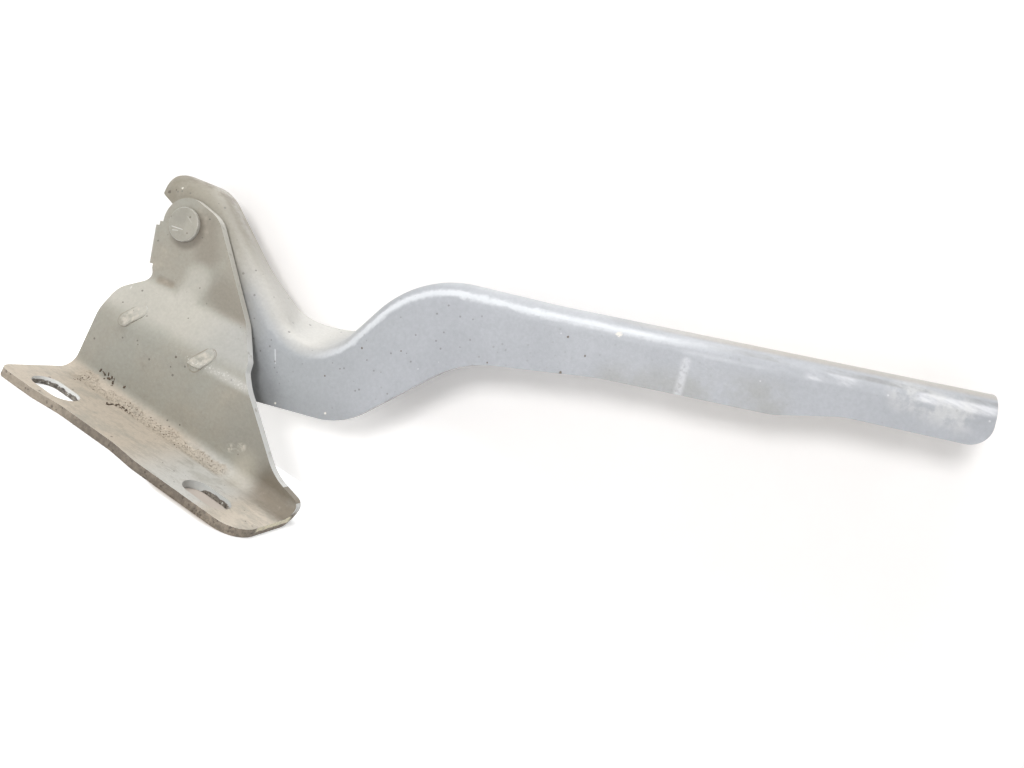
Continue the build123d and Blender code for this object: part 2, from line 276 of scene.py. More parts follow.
def specks(tree, place, spacing, size, share, seed):
    """A mask of small specks of uneven size: one in each cell of that spacing, in a share of the cells."""
    moved = stretched(tree, place, (1, 1, 1), move=(seed, seed * 0.7, seed * 1.3))
    cells = add_node(
        tree, "ShaderNodeTexVoronoi", {"Vector": moved, "Scale": 1 / spacing, "Randomness": 1.0}
    ).outputs
    draw = add_node(tree, "ShaderNodeSeparateColor", {"Color": cells["Color"]}).outputs
    chosen = maths(tree, "LESS_THAN", draw[0], share)
    in_cell = size / spacing
    lumpy = scaled(tree, 0.5, noise(tree, place, 1.2 / size, 2))
    reach = scaled(tree, in_cell, both(tree, draw[1], draw[1]))
    inside = maths(tree, "SUBTRACT", maths(tree, "ADD", reach, 0.30 * in_cell), cells["Distance"])
    uneven = scaled(tree, in_cell, maths(tree, "SUBTRACT", lumpy, 0.25))
    inside = maths(tree, "SUBTRACT", inside, uneven)
    soft = maths(tree, "DIVIDE", inside, 0.2 * in_cell, clamp=True)
    return both(tree, soft, chosen)


def away(tree, place, start, end=None):
    """How far the surface is from a point, or from the straight line between two."""
    offset = vectors(tree, "SUBTRACT", place, start)
    if end is not None:
        run = end - start
        share = vectors(tree, "DOT_PRODUCT", offset, run / run.length_squared, "Value")
        share = maths(tree, "MULTIPLY", share, 1.0, clamp=True)
        along = add_node(tree, "ShaderNodeVectorMath", {0: run, "Scale": share}, operation="SCALE")
        offset = vectors(tree, "SUBTRACT", offset, along.outputs[0])
    return add_node(tree, "ShaderNodeVectorMath", {0: offset}, operation="LENGTH").outputs["Value"]


def near(tree, place, start, end, radius, soft):
    """A mask round a point or line: 1 within the radius, fading out over the soft width."""
    return ease(tree, away(tree, place, start, end), radius + soft, radius)


def start_material(name):
    """An empty material, with its node tree and the object coordinates."""
    material = bpy.data.materials.new(name)
    material.use_nodes = True
    tree = material.node_tree
    tree.nodes.clear()
    return material, tree, add_node(tree, "ShaderNodeTexCoord").outputs["Object"]


def parts(tree, output="Object"):
    """X, Y and Z of the object coordinates, or of the normal."""
    source = add_node(tree, "ShaderNodeTexCoord").outputs[output]
    return add_node(tree, "ShaderNodeSeparateXYZ", {0: source}).outputs


def finish_material(material, base, rough, bump, bump_depth, metallic=0.0):
    """Ends a material in one surface shader with a bump."""
    tree = material.node_tree
    relief = add_node(
        tree, "ShaderNodeBump", {"Strength": 1.0, "Distance": bump_depth, "Height": bump}
    ).outputs[0]
    surface = add_node(
        tree,
        "ShaderNodeBsdfPrincipled",
        {"Base Color": base, "Roughness": rough, "Metallic": metallic, "Normal": relief},
    )
    add_node(tree, "ShaderNodeOutputMaterial", {0: surface.outputs[0]})
    return material


def grained(tree, base, grain, share):
    """A fine grain laid over a colour."""
    return mix(tree, share, base, mix(tree, grain, BLACK, WHITE), "OVERLAY")


def spotted(tree, place, base, rows, tint):
    """Small ragged marks on a colour, each a middle and a radius."""
    edge = noise(tree, place, 700, 4, 0.7)
    for middle, radius in rows:
        ragged = maths(tree, "ADD", away(tree, place, middle), scaled(tree, radius * 1.8, edge))
        base = mix(tree, ease(tree, ragged, radius * 1.9, radius * 1.4), base, tint)
    return base


# Finishes


# Tints of the bracket's stains, dust and rubbed places, and of its painted shade and highlights
MOTTLE = (0.235, 0.220, 0.180)
NECK_BROWN_AND_SHADE = (0.240, 0.214, 0.172)
RAMP_FRONT = (0.420, 0.415, 0.390)
DIMPLE_SHADE = (0.235, 0.190, 0.140)
TAN_CLOUD = (0.430, 0.380, 0.310)
PAD_RUBBED = (0.600, 0.555, 0.480)
PAD_DIRT = (0.200, 0.160, 0.115)
GREY_DUST = (0.560, 0.550, 0.515)
PALE_DUST = (0.700, 0.625, 0.525)
DARK_GRAINS = (0.190, 0.150, 0.110)
PALE_GRAINS = (0.700, 0.640, 0.550)
WIPED = (0.300, 0.275, 0.230)
PLATE_FRONT = (0.225, 0.205, 0.170)
CORNER_DARK = (0.175, 0.145, 0.105)
HUMP = (0.500, 0.455, 0.375)
SMUDGE = (0.560, 0.520, 0.450)
DARK_SPECK = (0.100, 0.085, 0.070)
PLATE_SPECK = (0.110, 0.090, 0.070)
CREASE_FLECK = (0.800, 0.790, 0.760)
CREASE_HIGHLIGHT = (0.640, 0.630, 0.600)

# Tints of the bracket's sheared edges, its rim and the walls of its slots, with painted highlights on the edge
# paint and the rim
EDGE_MIDDLE = (0.115, 0.095, 0.075)
EDGE_PAINT_HIGHLIGHT = (0.720, 0.720, 0.705)
RIM_DULL = (0.380, 0.340, 0.280)
RIM_HIGHLIGHT = (0.800, 0.770, 0.700)
CUT_REAR = (0.800, 0.795, 0.770)
CUT_FRONT = (0.590, 0.605, 0.590)
TORN_DARK = (0.050, 0.042, 0.034)
TORN_PALE = (0.300, 0.270, 0.230)
TORN_GLINT = (0.700, 0.690, 0.660)

# Tints of the arm's stains, dust, chips and scratches, and of its painted highlights and shade
LOW_STAIN = (0.330, 0.325, 0.305)
NOSE_DIRT = (0.205, 0.180, 0.135)
NECK_SHADE = (0.150, 0.150, 0.148)
HEEL_SHADE = (0.200, 0.205, 0.208)
BROAD_HIGHLIGHT = (0.585, 0.565, 0.520)
BEND_BROWN = (0.335, 0.312, 0.264)
DIP_FLOOR = (0.400, 0.395, 0.370)
DIP_SHADE = (0.270, 0.262, 0.230)
SHOULDER_SHADE = (0.275, 0.285, 0.300)
HIGHLIGHT_LINE = (0.750, 0.770, 0.795)
TOP_DUST = (0.450, 0.412, 0.355)
TOP_DARK_LINE = (0.230, 0.225, 0.215)
GLINT = (0.84, 0.84, 0.86)
NOSE_LINE = (0.150, 0.120, 0.085)
SCUFF = (0.660, 0.670, 0.690)
SCRATCH = (0.80, 0.81, 0.83)
CHIP = (0.780, 0.745, 0.680)
DARK_MARK = (0.130, 0.105, 0.080)
UNDER_SHADE = (0.130, 0.118, 0.105)
FINE_SPECK = (0.150, 0.140, 0.130)
LIGHT_SPECK = (0.760, 0.765, 0.770)

# Tints of the rivet's paint, and of the painted shadow on the floor under the front slot
HEAD_PAINT = (0.300, 0.288, 0.245)
HEAD_WORN = (0.375, 0.355, 0.305)
SLOT_SHADOW = (0.560, 0.500, 0.445)

# Dark specks on the plate and the ramp, each a middle and a radius
PLATE_SPECKS = (
    (at(-32.5, 23.0, 26.4), 0.36 * MM),
    (at(-18.2, 26.0, 37.4), 0.42 * MM),
    (at(-7.4, 26.3, 39.5), 0.50 * MM),
    (at(-6.1, 27.3, 42.8), 0.48 * MM),
    (at(-14.3, 23.0, 30.7), 0.62 * MM),
    (at(-14.6, 23.0, 26.1), 0.40 * MM),
    (at(11.9, 23.0, 35.1), 0.62 * MM),
    (at(0.5, 23.0, 8.4), 0.46 * MM),
    (at(3.0, 29.4, 48.6), 0.75 * MM),
    (at(6.6, 29.6, 48.4), 0.60 * MM),
)
# The blank oval pads on the ramp: their middles seen from the front, and half their straight length
PAD_MIDDLES = (at(-41.8, 0.0, 35.0), at(-3.9, 0.0, 35.0))
PAD_RUN = Vector((math.cos(math.radians(61)), 0.0, math.sin(math.radians(61)))) * 3.1 * MM
PAD_RADIUS = 2.9 * MM


def bracket_primer(finish):
    """Old grey-green primer: brown neck, paler ramp, and dust caked on the base flange, with painted shade and
    highlights in places.
    """
    material, tree, place = start_material("bracket_primer")
    x, y, z = parts(tree)
    _, facing_y, facing_z = parts(tree, "Normal")
    cloudy = noise(tree, place, 55, 6, 0.62)
    base = over(
        tree, finish.bracket_paint, finish.bracket_warm, 0.55, ease(tree, cloudy, 0.40, 0.68)
    )
    mottled = ease(tree, noise(tree, place, 130, 5, 0.7), 0.52, 0.70)
    base = over(tree, base, MOTTLE, 0.30, mottled)

    # The neck is browner, most of all beside the dart; above and beside the rivet head it is darkened with painted
    # shade
    neck = ease(tree, z, 50 * MM, 58 * MM)
    base = over(tree, base, finish.bracket_warm, 0.55, neck, patches(tree, place, 60, 0.30, 0.62))
    brown_and_shade = near(tree, place, at(-14, 31.5, 60), at(4, 31.5, 53), 2.5 * MM, 9 * MM)
    above_head_shade = near(tree, place, PIVOT + at(9, -5.6, 4), PIVOT + at(15, -5.6, -6), 2 * MM, 7 * MM)
    # The mask then also holds the painted shade beside the rivet head
    brown_and_shade = both(tree, maths(tree, "MAXIMUM", brown_and_shade, above_head_shade), ease(tree, z, 47 * MM, 52 * MM))
    base = over(tree, base, NECK_BROWN_AND_SHADE, 0.75, brown_and_shade)

    # The ramp is paler up to its bends, partly a paler primer and partly painted light where it faces up, with a
    # painted highlight along the dart
    ramp = both(tree, ease(tree, y, 22.9 * MM, 26.2 * MM), ease(tree, y, 31.7 * MM, 29.8 * MM))
    ramp = both(
        tree, ramp, ease(tree, z, 24 * MM, 30 * MM), maths(tree, "ADD", scaled(tree, 0.9, cloudy), 0.40)
    )
    dart = near(tree, place, at(-27, 31.5, 60), at(-28, 29.5, 49), 2.5 * MM, 6.5 * MM)
    pale = maths(tree, "MAXIMUM", ramp, scaled(tree, 0.62, dart))
    pale_tint = mix(tree, ease(tree, x, -22 * MM, 6 * MM), finish.bracket_pale_lit, RAMP_FRONT)
    base = mix(tree, pale, base, pale_tint)
    # Painted shade in the dimple beside the neck, which is only a bump
    dimple = near(tree, place, at(-43, 31.0, 51.4), at(-37, 31.0, 52.4), 0.2 * MM, 2.2 * MM)
    base = over(tree, base, DIMPLE_SHADE, 0.60, dimple, ease(tree, cloudy, 0.2, 0.5))
    base = mix(tree, ease(tree, cloudy, 0.62, 0.80), base, TAN_CLOUD)

    # Each pad has a line of dirt round it and rubbed paint on it
    flat = stretched(tree, place, (1, 0, 1))
    pad_away = maths(
        tree,
        "MINIMUM",
        away(tree, flat, PAD_MIDDLES[0] - PAD_RUN, PAD_MIDDLES[0] + PAD_RUN),
        away(tree, flat, PAD_MIDDLES[1] - PAD_RUN, PAD_MIDDLES[1] + PAD_RUN),
    )
    on_front = ease(tree, y, 26.0 * MM, 25.5 * MM)
    rubbed = both(
        tree,
        ease(tree, pad_away, PAD_RADIUS, PAD_RADIUS * 0.6),
        patches(tree, place, 420, 0.40, 0.62),
        on_front,
    )
    base = over(tree, base, PAD_RUBBED, 0.65, rubbed)
    outline = maths(tree, "ABSOLUTE", maths(tree, "SUBTRACT", pad_away, PAD_RADIUS + 0.1 * MM))
    outline = both(
        tree, ease(tree, outline, 0.42 * MM, 0.12 * MM), patches(tree, place, 260, 0.36, 0.56), on_front
    )
    base = over(tree, base, PAD_DIRT, 0.62, outline)

    # Dust on the base flange, greyer by the front slot, and grainy soil in the bend
    lying = both(tree, ease(tree, facing_z, 0.10, 0.80), ease(tree, z, 14 * MM, 6 * MM))
    swept = maths(tree, "ADD", scaled(tree, 0.75, patches(tree, place, 80, 0.28, 0.60)), 0.35)
    by_slot = both(tree, ease(tree, x, 0, 26 * MM), ease(tree, x, 50 * MM, 36 * MM))
    dust = mix(tree, by_slot, finish.road_dust, GREY_DUST)
    dust = over(tree, dust, PALE_DUST, 0.6, ease(tree, x, 44 * MM, 54 * MM))
    base = mix(tree, both(tree, lying, maths(tree, "MINIMUM", swept, 0.92)), base, dust)
    ragged_top = maths(tree, "ADD", z, scaled(tree, 9 * MM, noise(tree, place, 110, 6, 0.7)))
    strip = both(tree, ease(tree, y, 14.5 * MM, 17.5 * MM), ease(tree, ragged_top, 10.2 * MM, 9.2 * MM))
    strip = both(tree, strip, between(tree, x, -47 * MM, 26 * MM, 6 * MM), ease(tree, facing_y, 0.3, 0.0))
    grit = noise(tree, place, 1500, 4, 0.75)
    grains = ease(tree, grit, 0.55, 0.63)
    base = over(tree, base, finish.soil, 0.75, strip)
    grainy = both(
        tree, grains, maths(tree, "MAXIMUM", scaled(tree, 0.62, strip), scaled(tree, 0.16, lying))
    )
    base = mix(tree, grainy, base, DARK_GRAINS)
    pale_grains = both(
        tree,
        ease(tree, grit, 0.42, 0.36),
        maths(tree, "MAXIMUM", scaled(tree, 0.45, strip), scaled(tree, 0.12, lying)),
    )
    base = mix(tree, pale_grains, base, PALE_GRAINS)
    swirls = stretched(tree, place, (1.0, 3.2, 1.0), turn=(0, 0, math.radians(-14)))
    streak = both(tree, lying, patches(tree, swirls, 150, 0.52, 0.62, 3))
    base = over(tree, base, WIPED, 0.30, streak)

    # The plate is duller towards its front edge
    duller = both(
        tree,
        ease(tree, x, 8 * MM, 30 * MM),
        ease(tree, y, 25 * MM, 23.5 * MM),
        ease(tree, z, 8 * MM, 16 * MM),
    )
    base = over(tree, base, PLATE_FRONT, 0.42, duller)

    # Painted shadow below the rivet head, the front end of the bend darker, which has a pale hump beside it
    beside_head = PIVOT + at(1.6, -5.6, -1.2)
    head_shadow = near(tree, place, beside_head, None, 6.8 * MM, 2.6 * MM)
    corner = near(tree, place, at(47, 23, 8), at(60, 22, 4), 2.0 * MM, 11 * MM)
    corner = both(tree, corner, patches(tree, place, 150, 0.16, 0.46))
    shadow_and_dark_corner = maths(tree, "MAXIMUM", scaled(tree, 0.55, head_shadow), scaled(tree, 0.88, corner))
    base = mix(tree, shadow_and_dark_corner, base, mix(tree, corner, finish.grime_and_shade, CORNER_DARK))
    hump = near(tree, place, at(33, 23, 10), at(36, 19, 5), 0.5 * MM, 9 * MM)
    base = over(tree, base, HUMP, 0.50, hump)
    smudge = near(tree, place, at(24.5, 23, 12), at(29, 23, 15), 0.6 * MM, 1.8 * MM)
    base = over(tree, base, SMUDGE, 0.8, smudge, patches(tree, place, 500, 0.44, 0.58))

    # Dark specks, flecks of bare paint and a painted highlight along the lower crease, and one hairline scratch
    dark = both(tree, specks(tree, place, 3.1 * MM, 0.46 * MM, 0.42, 7.0), ease(tree, cloudy, 0.34, 0.50))
    base = over(tree, base, DARK_SPECK, 0.70, dark)
    base = spotted(tree, place, base, PLATE_SPECKS, PLATE_SPECK)
    crease = maths(tree, "SUBTRACT", z, scaled(tree, 0.084, x))
    at_crease = maths(tree, "ABSOLUTE", maths(tree, "SUBTRACT", crease, 34.0 * MM))
    worn = both(
        tree, ease(tree, at_crease, 3.4 * MM, 0.4 * MM), ease(tree, x, -42 * MM, 8 * MM), on_front
    )
    fleck_noise = maths(tree, "ADD", noise(tree, place, 1300, 4, 0.75), scaled(tree, 0.17, worn))
    flecks = both(tree, ease(tree, fleck_noise, 0.70, 0.78), ease(tree, worn, 0.05, 0.35))
    base = over(tree, base, CREASE_FLECK, 0.60, flecks)
    # A painted highlight on the front end of the crease
    base = over(tree, base, CREASE_HIGHLIGHT, 0.45, worn, ease(tree, x, -12 * MM, 14 * MM))
    hairline = near(tree, place, at(-51.4, 28.5, 43.4), at(-50.6, 27.6, 39.4), 0.10 * MM, 0.25 * MM)
    base = over(tree, base, finish.bare, 0.7, hairline)
    grain = noise(tree, place, 800, 3, 0.6)
    base = grained(tree, base, grain, 0.14)

    rough = maths(tree, "ADD", scaled(tree, 0.20, lying), 0.44)
    relief = maths(tree, "ADD", grain, scaled(tree, 2.0, both(tree, strip, grains)))
    relief = maths(tree, "ADD", relief, scaled(tree, 3.0, cloudy))
    relief = maths(tree, "SUBTRACT", relief, scaled(tree, 4.0, dimple))
    return finish_material(material, base, rough, relief, 0.08 * MM)


# Places of the arm's chips and dark marks, on the face of its web, as X, Z and radius in mm
CHIPS = (
    (132.3, 121.5, 1.45),
    (203.1, 144.1, 0.75),
    (235.4, 155.4, 1.05),
    (-55.9, 88.5, 0.70),
    (143.0, 125.1, 0.50),
    (229.0, 152.4, 0.60),
    (26.1, 32.6, 0.55),
    (47.2, 40.2, 0.60),
)
DARK_MARKS = (
    (-60.4, 84.3, 0.85),
    (-57.8, 86.4, 0.45),
    (39.9, 52.7, 0.45),
    (44.2, 58.3, 0.34),
    (48.4, 69.8, 0.46),
    (52.5, 66.8, 0.30),
    (63.2, 76.6, 0.32),
    (74.3, 108.8, 0.42),
    (81.9, 107.9, 0.34),
    (88.2, 110.8, 0.40),
    (95.2, 89.3, 0.42),
    (98.2, 115.2, 0.44),
    (101.5, 113.2, 0.36),
    (105.7, 114.7, 0.48),
    (117.0, 111.8, 0.52),
    (120.8, 99.4, 0.80),
    (125.7, 108.9, 0.60),
    (185.6, 140.7, 0.45),
)
# How far back the face of the web lies, in mm
WEB_FACE = 35.8


def on_web(x, z):
    """A place on the face of the arm's web, from millimetres."""
    return at(x, WEB_FACE, z)


def arm_primer(finish):
    """Old blue-grey primer: brown towards the pivot, dusty along its top, with chips and scratches, and painted
    highlights and shade along its bend and lower edge.
    """
    material, tree, place = start_material("arm_primer")
    x, _, z = parts(tree)
    _, facing_y, facing_z = parts(tree, "Normal")
    cloudy = noise(tree, place, 45, 6, 0.62)
    # How far the surface has turned from the web towards the flange
    turned = maths(tree, "ARCCOSINE", scaled(tree, -1.0, facing_y))
    base = mix(tree, ease(tree, x, 24 * MM, 72 * MM), finish.arm_heel, finish.arm_paint)
    duller = shade(finish.arm_paint, 0.86)
    base = over(tree, base, duller, 0.5, ease(tree, cloudy, 0.38, 0.66))
    low_stain = near(tree, place, on_web(140, 104), on_web(186, 124), 3 * MM, 9 * MM)
    low_stain = both(tree, scaled(tree, 0.55, low_stain), ease(tree, cloudy, 0.34, 0.56))
    base = mix(tree, low_stain, base, LOW_STAIN)

    # Browned towards the pivot, dirty at the nose, and darker where the neck shades it
    near_pivot = ease(tree, maths(tree, "ADD", x, scaled(tree, 20 * MM, cloudy)), 28 * MM, -22 * MM)
    base = mix(tree, near_pivot, base, finish.arm_warm)
    nose = both(tree, ease(tree, x, -42 * MM, -56 * MM), patches(tree, place, 140, 0.30, 0.62))
    base = over(tree, base, NOSE_DIRT, 0.55, nose)
    shaded = near(tree, place, on_web(0, 41), on_web(17, 31), 2 * MM, 13 * MM)
    base = over(tree, base, NECK_SHADE, 0.52, shaded)
    low_heel = near(tree, place, on_web(24, 30), on_web(52, 38), 1 * MM, 15 * MM)
    base = over(tree, base, HEEL_SHADE, 0.24, low_heel)

    # Painted highlights along the bend: broad and soft on the way down to the dip, a narrow bright line past the
    # knee
    rear = ease(tree, x, 52 * MM, 24 * MM)
    broad_highlight = both(
        tree,
        rear,
        ease(tree, turned, math.radians(6), math.radians(62)),
        ease(tree, x, -50 * MM, -30 * MM),
    )
    broad_highlight_tint = mix(tree, ease(tree, z, 66 * MM, 86 * MM), BROAD_HIGHLIGHT, BEND_BROWN)
    base = over(tree, base, broad_highlight_tint, 0.85, broad_highlight)
    dip_floor = both(tree, ease(tree, turned, 1.1, 1.45), between(tree, x, 16 * MM, 40 * MM, 10 * MM))
    base = over(tree, base, DIP_FLOOR, 0.40, dip_floor)
    # Painted shade where the dip's flange meets the rise
    dip_shade = near(tree, place, at(43, 44, 61), at(48, 58, 66), 1 * MM, 8 * MM)
    base = over(tree, base, DIP_SHADE, 0.45, dip_shade, ease(tree, turned, 0.6, 1.3))
    front = maths(tree, "SUBTRACT", 1.0, rear)
    # Painted shade on the flange side of the bend past the knee
    shoulder_shade = both(
        tree,
        front,
        ease(tree, turned, math.radians(38), math.radians(72)),
        ease(tree, x, 190 * MM, 120 * MM),
    )
    base = over(tree, base, SHOULDER_SHADE, 0.60, shoulder_shade)
    waver = scaled(tree, 0.20, maths(tree, "SUBTRACT", noise(tree, place, 260, 4, 0.7), 0.5))
    wavering = maths(tree, "ADD", turned, waver)
    bright = between(tree, wavering, math.radians(25), math.radians(29), math.radians(15))
    faded = maths(tree, "ADD", scaled(tree, 0.80, ease(tree, x, 176 * MM, 136 * MM)), 0.12)
    bright = both(tree, front, bright, faded, maths(tree, "ADD", scaled(tree, 0.5, cloudy), 0.65))
    base = mix(tree, bright, base, HIGHLIGHT_LINE)

    # Tan dust on the front end's top with a dark line below it, and two painted glints
    top = both(
        tree, ease(tree, turned, math.radians(44), math.radians(60)), ease(tree, x, 116 * MM, 168 * MM)
    )
    dusty = both(tree, top, maths(tree, "ADD", scaled(tree, 0.5, cloudy), 0.55))
    base = over(tree, base, TOP_DUST, 0.85, dusty)
    drawn_out = stretched(tree, place, (0.22, 1, 1))
    line = both(
        tree,
        between(tree, turned, math.radians(33), math.radians(39), math.radians(7)),
        ease(tree, x, 150 * MM, 186 * MM),
    )
    line = both(tree, line, patches(tree, drawn_out, 130, 0.36, 0.58))
    base = over(tree, base, TOP_DARK_LINE, 0.55, line)
    # Two painted glints on the bend near the front end
    for middle, reach in ((200, 5), (236, 9)):
        glint = between(tree, x, (middle - reach) * MM, (middle + reach) * MM, 4 * MM)
        glint = both(
            tree, glint, between(tree, turned, math.radians(12), math.radians(24), math.radians(9))
        )
        base = over(tree, base, GLINT, 0.7, glint, patches(tree, drawn_out, 160, 0.32, 0.58))
    nose_line = both(tree, ease(tree, facing_z, 0.72, 0.95), ease(tree, x, -14 * MM, -30 * MM))
    nose_line = both(tree, nose_line, patches(tree, place, 210, 0.40, 0.60))
    base = over(tree, base, NOSE_LINE, 0.70, nose_line)

    # A long pale scuff, a hairline scratch, the worn end, small chips and dark marks
    grit = patches(tree, place, 500, 0.26, 0.56, 4)
    scuff = near(tree, place, on_web(157.2, 124), on_web(160.3, 112), 0.4 * MM, 1.8 * MM)
    base = over(tree, base, SCUFF, 0.62, scuff, grit)
    worn_end = near(tree, place, on_web(222, 148), on_web(238, 150), 2 * MM, 6 * MM)
    base = over(tree, base, finish.bare, 0.42, worn_end, patches(tree, place, 240, 0.36, 0.62))
    scratch = near(tree, place, on_web(15.5, 51.1), on_web(18.3, 46.4), 0.05 * MM, 0.32 * MM)
    base = over(tree, base, SCRATCH, 0.6, scratch)
    for rows, tint in ((CHIPS, CHIP), (DARK_MARKS, DARK_MARK)):
        marks = [(on_web(along, up), radius * MM) for along, up, radius in rows]
        base = spotted(tree, place, base, marks, tint)

    # Painted shade on the faces that look down along the lower edge, and fine specks, thickest in the heel
    under = ease(tree, facing_z, -0.15, -0.60)
    base = over(tree, base, UNDER_SHADE, 0.55, under)
    in_heel = maths(tree, "ADD", scaled(tree, 0.75, ease(tree, x, 120 * MM, 60 * MM)), 0.25)
    fine = both(
        tree, specks(tree, place, 2.8 * MM, 0.48 * MM, 0.46, 5.0), ease(tree, cloudy, 0.30, 0.50), in_heel
    )
    base = over(tree, base, FINE_SPECK, 0.60, fine)
    light = specks(tree, place, 6.0 * MM, 0.30 * MM, 0.26, 9.0)
    base = over(tree, base, LIGHT_SPECK, 0.45, light)
    grain = noise(tree, place, 850, 3, 0.6)
    base = grained(tree, base, grain, 0.13)

    rough = maths(tree, "ADD", scaled(tree, 0.14, ease(tree, cloudy, 0.36, 0.68)), 0.36)
    relief = maths(tree, "ADD", grain, scaled(tree, 4.0, cloudy))
    return finish_material(material, base, rough, relief, 0.06 * MM)


def sheared_steel(finish):
    """The edge of the thick sheet: painted on the upright outline and pale there as a painted highlight, dull
    broken steel round the base.
    """
    material, tree, place = start_material("sheared_steel")
    x, y, z = parts(tree)
    torn = noise(tree, place, 520, 6, 0.75)
    base = mix(tree, ease(tree, torn, 0.36, 0.64), finish.sheared, shade(finish.sheared, 1.9))
    rear = ease(tree, x, 0, -45 * MM)
    base = over(tree, base, finish.road_dust, 0.35, rear)
    darker = both(
        tree,
        scaled(tree, 0.45, between(tree, x, -12 * MM, 34 * MM, 12 * MM)),
        ease(tree, z, 5 * MM, 4 * MM),
    )
    base = mix(tree, darker, base, EDGE_MIDDLE)
    # The upright outline's paint is pale: a painted highlight where the edge catches the light
    painted = both(tree, ease(tree, z, 4 * MM, 7 * MM), patches(tree, place, 210, 0.20, 0.44))
    lower = both(tree, painted, ease(tree, z, 60 * MM, 44 * MM))
    base = mix(tree, painted, base, finish.bracket_pale_lit)
    base = over(tree, base, EDGE_PAINT_HIGHLIGHT, 0.80, lower)
    band = maths(tree, "SUBTRACT", z, scaled(tree, 3.2 * MM, torn))
    worn = both(
        tree,
        between(tree, y, 2 * MM, 21 * MM, 2 * MM),
        ease(tree, x, BASE_FRONT - 4 * MM, BASE_FRONT - 2 * MM),
    )
    worn = both(tree, worn, ease(tree, band, -0.3 * MM, 0.1 * MM), ease(tree, z, 4.2 * MM, 3.6 * MM))
    rubbed = patches(tree, place, 520, 0.36, 0.60)
    rubbed_tint = mix(tree, rubbed, shade(finish.brassy, 0.72), finish.brassy)
    base = over(tree, base, rubbed_tint, 0.92, worn)
    pits = specks(tree, place, 1.1 * MM, 0.50 * MM, 0.42, 2.0)
    pitted = both(tree, pits, maths(tree, "SUBTRACT", 1.0, maths(tree, "MAXIMUM", painted, worn)))
    base = over(tree, base, finish.grime_and_shade, 0.65, pitted)
    rough = maths(tree, "SUBTRACT", 0.66, scaled(tree, 0.24, painted))
    return finish_material(material, base, rough, maths(tree, "SUBTRACT", torn, pitted), 0.24 * MM)


def rim_with_highlights():
    """The thin rounded rim along the top of the free edge, with painted highlights in places."""
    material, tree, place = start_material("rim_with_highlights")
    rubbed = patches(tree, place, 260, 0.36, 0.60)
    base = mix(tree, rubbed, RIM_DULL, RIM_HIGHLIGHT)
    return finish_material(material, base, 0.45, noise(tree, place, 900), 0.05 * MM)


def slot_wall():
    """The wall of a punched slot: a smooth cut band above, torn dark metal below."""
    material, tree, place = start_material("slot_wall")
    x, _, z = parts(tree)
    torn = noise(tree, place, 560, 6, 0.75)
    front = ease(tree, x, -10 * MM, 10 * MM)
    line = maths(tree, "ADD", z, scaled(tree, 2.0 * MM, noise(tree, place, 330, 4, 0.7)))
    smooth_end = both(tree, ease(tree, x, 34.5 * MM, 30.5 * MM), front)
    lowered = maths(tree, "ADD", scaled(tree, 2.0 * MM, smooth_end), scaled(tree, 0.2 * MM, front))
    line = maths(tree, "ADD", line, lowered)
    broken = ease(tree, line, 3.0 * MM, 2.7 * MM)
    cut = mix(tree, front, CUT_REAR, CUT_FRONT)
    base = mix(tree, broken, cut, mix(tree, ease(tree, torn, 0.34, 0.66), TORN_DARK, TORN_PALE))
    glints = both(tree, broken, ease(tree, noise(tree, place, 900, 3, 0.7), 0.60, 0.66))
    base = mix(tree, glints, base, TORN_GLINT)
    rough = maths(tree, "ADD", scaled(tree, 0.3, broken), 0.34)
    return finish_material(material, base, rough, maths(tree, "MULTIPLY", torn, broken), 0.5 * MM)


def rivet_steel(finish):
    """Primer worn thin on the rivet, with hairline scratches across its head."""
    material, tree, place = start_material("rivet_steel")
    _, facing_y, _ = parts(tree, "Normal")
    worn = patches(tree, place, 150, 0.33, 0.66)
    base = mix(tree, worn, HEAD_PAINT, HEAD_WORN)
    face = PIVOT + at(0, -7.2, 0)
    for start, end, share in (
        (at(-4.4, 0, -3.0), at(0.8, 0, -2.0), 0.75),
        (at(-3.4, 0, -4.2), at(-1.0, 0, -3.3), 0.55),
        (at(0.5, 0, 3.6), at(3.2, 0, 2.4), 0.25),
    ):
        scratch = near(tree, place, face + start, face + end, 0.04 * MM, 0.20 * MM)
        base = over(tree, base, finish.bare, share, scratch, patches(tree, place, 600, 0.3, 0.5))
    rim = both(tree, ease(tree, facing_y, -0.95, -0.72), patches(tree, place, 180, 0.32, 0.62))
    base = over(tree, base, finish.bare, 0.60, rim)
    pits = specks(tree, place, 2.0 * MM, 0.42 * MM, 0.42, 4.0)
    base = over(tree, base, finish.grime_and_shade, 0.6, pits)
    grain = noise(tree, place, 800, 3, 0.6)
    relief = maths(tree, "ADD", grain, scaled(tree, 2.0, worn))
    return finish_material(material, base, 0.46, relief, 0.05 * MM)


def turned_metal(name, tint, grime_and_shade):
    """Plain turned metal with fine rings and darker stains."""
    material, tree, place = start_material(name)
    stain = patches(tree, place, 240, 0.42, 0.68)
    base = mix(tree, scaled(tree, 0.5, stain), tint, grime_and_shade)
    centre = vectors(tree, "SUBTRACT", place, PIVOT)
    rings = add_node(
        tree,
        "ShaderNodeTexWave",
        {"Vector": centre, "Scale": 320.0, "Distortion": 0.6, "Detail": 2.0},
        wave_type="RINGS",
        rings_direction="Y",
    ).outputs["Fac"]
    rough = maths(tree, "ADD", scaled(tree, 0.25, stain), 0.34)
    return finish_material(material, base, rough, rings, 0.02 * MM, metallic=0.85)


